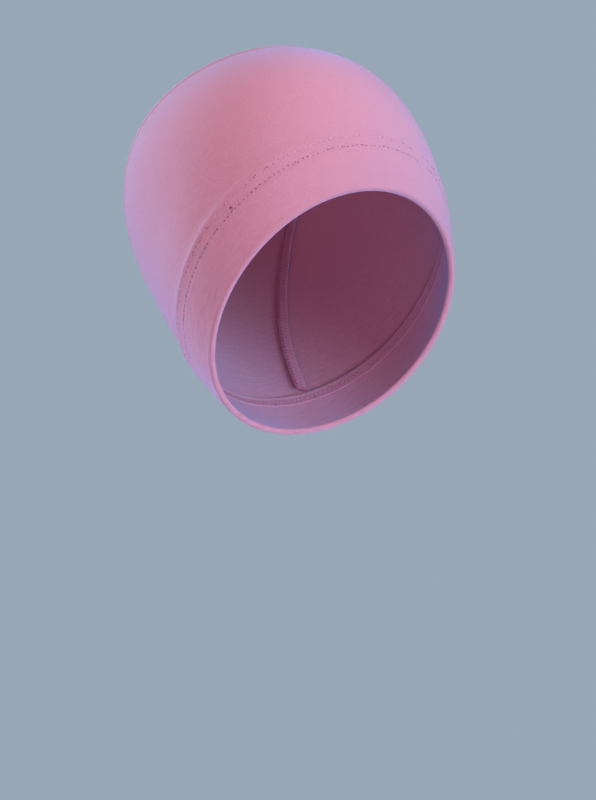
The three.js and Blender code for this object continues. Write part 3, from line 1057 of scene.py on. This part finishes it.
def along_row(turns, ups, depth):
    """Holes at a depth below the face, or on the right side where the depth is None."""
    places = [above_rim(turns[i : i + 1], [up]) for i, up in enumerate(ups)]
    across, fore = (np.array([place[axis][0, 0] for place in places]) for axis in (0, 1))
    face = face_point(across, fore)
    normal = face_normal(across, fore)
    if depth is None:
        level, _, _ = relief(across, fore, face, np.abs(turns) > SEAM_TURN)
        level = level + NEEDLE_THREAD_RADIUS / 3
    else:
        level = np.full(len(face), -depth)
    holes = face + normal * level[:, None]
    return holes[:-1], np.diff(holes, axis=0), normal[:-1]


NEEDLE_STRAND = [((0, 0, -1), (0.5, 0, 1), (1, 0, -1))]
overlap = OVERLAP_TURN + stitch_turn * np.arange(3)
rows = [along_row(hole_turns, np.full(STITCHES + 1, up), None) for up in NEEDLE_ROWS]
rows.append(along_row(overlap, NEEDLE_ROWS[1] + np.array(OVERLAP_CLIMB), None))
at, chords, outward = (np.concatenate(parts) for parts in zip(*rows))
needle_mesh = sew(
    "needle_threads", matching_thread, NEEDLE_STRAND, at, chords, outward,
    radius=NEEDLE_THREAD_RADIUS, reach=0.0, dive=STITCH_DIVE, sway=NEEDLE_SWAY,
)
finish_piece("needle_threads", needle_mesh)

# Painted shadow: jersey down in a needle hole, where little light gets, as a dark red speck without
# any shine
hole_shadow, hole_shadow_tree = blank_material("jersey_in_its_own_shadow")
finish_material(
    hole_shadow_tree, {"Base Color": linear("#7d1436"), "Roughness": 1.0, "Specular IOR Level": 0.0}
)
chance = np.random.default_rng(5)
hole_shadow_runs = []
for up, row_sunk in zip(NEEDLE_ROWS, PIT_SUNK.values()):
    for start, sunk in zip((0, 0.5), row_sunk):
        wander = PIT_WANDER * chance.uniform(-1, 1, STITCHES + 1)
        turns = hole_turns + stitch_turn * (start + wander)
        strays = up + PIT_STRAY * chance.uniform(-1, 1, STITCHES + 1)
        at, chords, outward = along_row(turns, strays, None)
        hole_shadow_runs.append((at - outward * (sunk * chance.random((STITCHES, 1))), chords, outward))
snag_turns = SNAG_TURN + stitch_turn * np.array((0, 0.12, 0.24, 0.36))
hole_shadow_runs.append(along_row(snag_turns, SNAG_UP + SNAG_RADIUS * np.array((-0.4, 0.4, 0, 0)), None))
at, chords, outward = (np.concatenate(parts) for parts in zip(*hole_shadow_runs))
hole_shadow_mesh = sew(
    "needle_hole_shadows", hole_shadow, [((-0.09, 0, 0), (0, 0, 0), (0.09, 0, 0))], at, chords, outward,
    radius=PIT_RADIUS, reach=0.0, dive=0.0, sway=PIT_SWAY,
)
finish_piece("needle_hole_shadows", hole_shadow_mesh)

COVER_STRANDS = [
    # from row to row and back, then the needle thread's loops that hold it along each row
    ((0, 0, 0), (0.5, 0.5, -2), (1, 1, 0)),
    ((0, 1, 0), (0.6, 0.5, -1), (1, 0, 0)),
    ((-0.1, 0, 0.5), (0.5, -0.03, -1.2), (1.1, 0, 0.5)),
    ((-0.1, 1, 0.5), (0.5, 1.03, -1.2), (1.1, 1, 0.5)),
]
at, chords, outward = along_row(hole_turns, np.full(STITCHES + 1, HEM_DEPTH), PLIES)
cover_mesh = sew(
    "cover_threads", matching_thread, COVER_STRANDS, at, chords, outward,
    radius=COVER_RADIUS, reach=NEEDLE_GAUGE, dive=STITCH_DIVE, sway=COVER_SWAY,
)
finish_piece("cover_threads", cover_mesh)


# Studio
# A plain pale floor well below the cap, a plain blue-grey surround, and soft lights.

FLOOR_HEIGHT = -1.5
floor_mesh = bpy.data.meshes.new("floor")
floor_corners = [(x, y, FLOOR_HEIGHT) for x, y in ((-6, -6), (6, -6), (6, 6), (-6, 6))]
floor_mesh.from_pydata(floor_corners, [], [(0, 1, 2, 3)])
floor = put("floor", floor_mesh)
# Matt pale paint, which sends a soft light back up
paint, paint_tree = blank_material("pale_floor")
finish_material(paint_tree, {"Base Color": linear("#d5d9de"), "Roughness": 0.9})
floor_mesh.materials.append(paint)

world = bpy.data.worlds.new("surround")
bpy.context.scene.world = world
world.use_nodes = True
surround = world.node_tree.nodes["Background"].inputs
surround["Color"].default_value = linear("#98a7b6")
surround["Strength"].default_value = 1.0

LIGHTS = [
    # name, azimuth from ahead of the wearer, elevation, distance, size, watts, colour
    ("window", 21, 0, 1.8, 1.2, 44.8, "#b3e0ff"),
    ("overhead", -39, 60, 1.8, 1.2, 20.9, "#fff5db"),
    ("far_window", -158, 3, 1.8, 1.2, 39.1, "#dff5ff"),
    ("low_fill", -39, -30, 1.8, 1.2, 9.8, "#e9c6ff"),
]
for name, azimuth, elevation, distance, size, watts, colour in LIGHTS:
    lamp = bpy.data.lights.new(name, "AREA")
    lamp.size = size
    lamp.energy = watts
    lamp.color = linear(colour)[:3]
    light = put(name, lamp)
    towards = direction(math.radians(azimuth), math.radians(elevation))
    light.location = LOOK_POINT + towards * distance
    light.rotation_mode = "QUATERNION"
    light.rotation_quaternion = (-towards).to_track_quat("-Z", "Y")

bpy.context.scene.view_settings.view_transform = "Standard"
